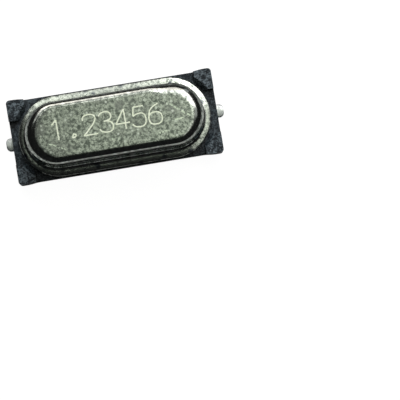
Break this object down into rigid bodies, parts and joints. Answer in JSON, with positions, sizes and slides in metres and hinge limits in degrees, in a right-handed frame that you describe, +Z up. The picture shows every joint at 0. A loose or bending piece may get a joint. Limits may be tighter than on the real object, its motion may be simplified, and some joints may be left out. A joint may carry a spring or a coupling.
{
  "type": "surface-mount crystal oscillator",
  "caption": "Low-profile quartz crystal in a welded oblong metal can on a moulded insulator base, with two flattened leads bent outwards along the underside.",
  "frame": {"origin": "middle of the footprint, on the board's surface, where the undersides of both leads lie", "axes": "+X along the package from the left lead to the right lead, +Y across it, +Z up away from the board"},
  "size_m": [0.0128, 0.005, 0.0041],
  "materials": {
    "can_plating": "nickel-plated drawn sheet, satin with fine handling marks",
    "header_plating": "nickel-plated pressed sheet",
    "seal_glass": "dark sealing glass",
    "lead_tin": "tin-dipped, slightly uneven",
    "clip_sheet": "bright sheet",
    "quartz": "lapped quartz",
    "electrode_film": "evaporated silver film",
    "glue": "silver-filled glue",
    "base_plastic": "dark slate moulding, finely speckled"
  },
  "bodies": {
    "root": {"can": "can_plating", "header": "header_plating", "glass_seal_left": "seal_glass", "glass_seal_right": "seal_glass", "lead_left": "lead_tin", "lead_right": "lead_tin", "clip_left": "clip_sheet", "clip_right": "clip_sheet", "quartz_blank": "quartz", "electrode_front": "electrode_film", "electrode_rear": "electrode_film", "glue_left_front": "glue", "glue_left_rear": "glue", "glue_right_front": "glue", "glue_right_rear": "glue", "insulator_base": "base_plastic"}
  },
  "joints": []
}
